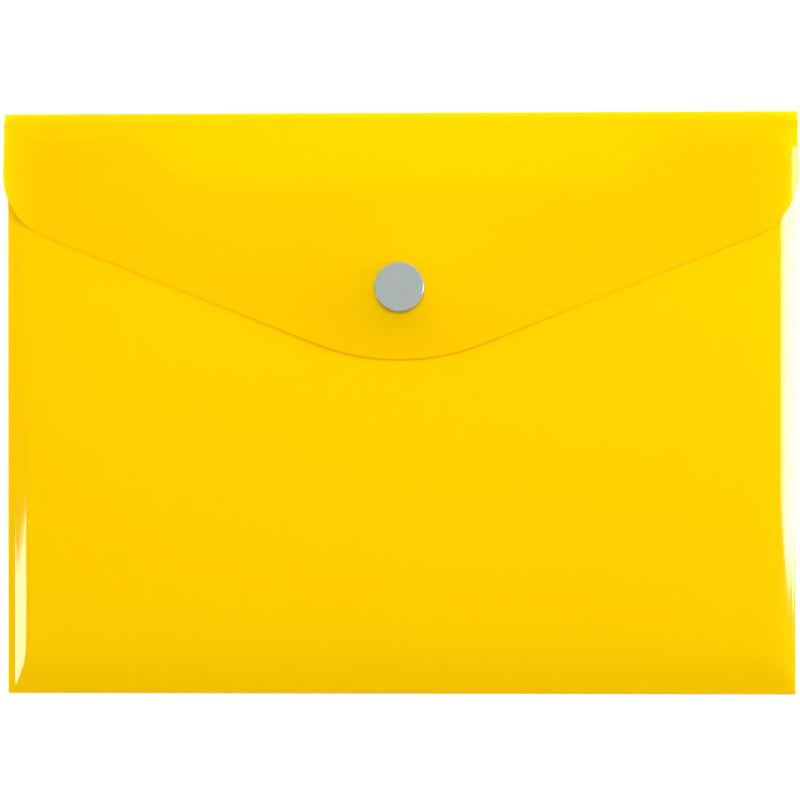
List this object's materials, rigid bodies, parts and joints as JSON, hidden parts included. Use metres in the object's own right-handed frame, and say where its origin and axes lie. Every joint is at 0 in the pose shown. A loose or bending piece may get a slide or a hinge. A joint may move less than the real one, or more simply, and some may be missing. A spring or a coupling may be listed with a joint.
{
  "type": "document wallet",
  "caption": "Landscape document wallet of translucent yellow film: a pocket with welded sides and a folded bottom, closed by a pointed flap that hinges at its fold and snaps shut on a press stud.",
  "frame": {"origin": "centre of the wallet's outline on the table plane under its back panel", "axes": "+X across the wallet to the right, +Y up the page to the flap's fold, +Z out of the back panel towards the flap"},
  "size_m": [0.2372, 0.173, 0.0104],
  "materials": {
    "film": "glossy translucent polypropylene film",
    "stud_plastic": "moulded satin grey plastic"
  },
  "bodies": {
    "pocket": {"back_panel": "film", "front_panel": "film", "left_side_seam": "film", "right_side_seam": "film", "bottom_fold": "film", "flap_fold": "film", "press_stud": "stud_plastic", "press_base": "stud_plastic"},
    "flap": {"flap": "film", "flap_crown": "film", "press_cap": "stud_plastic", "press_socket": "stud_plastic"}
  },
  "joints": [
    {"name": "flap_hinge", "type": "hinge", "parent": "pocket", "child": "flap", "pos_m": [0, 0.0833, 0.0032], "axis": [-1, 0, 0], "range_deg": [0, 165], "deforming": ["flap_fold"]}
  ]
}
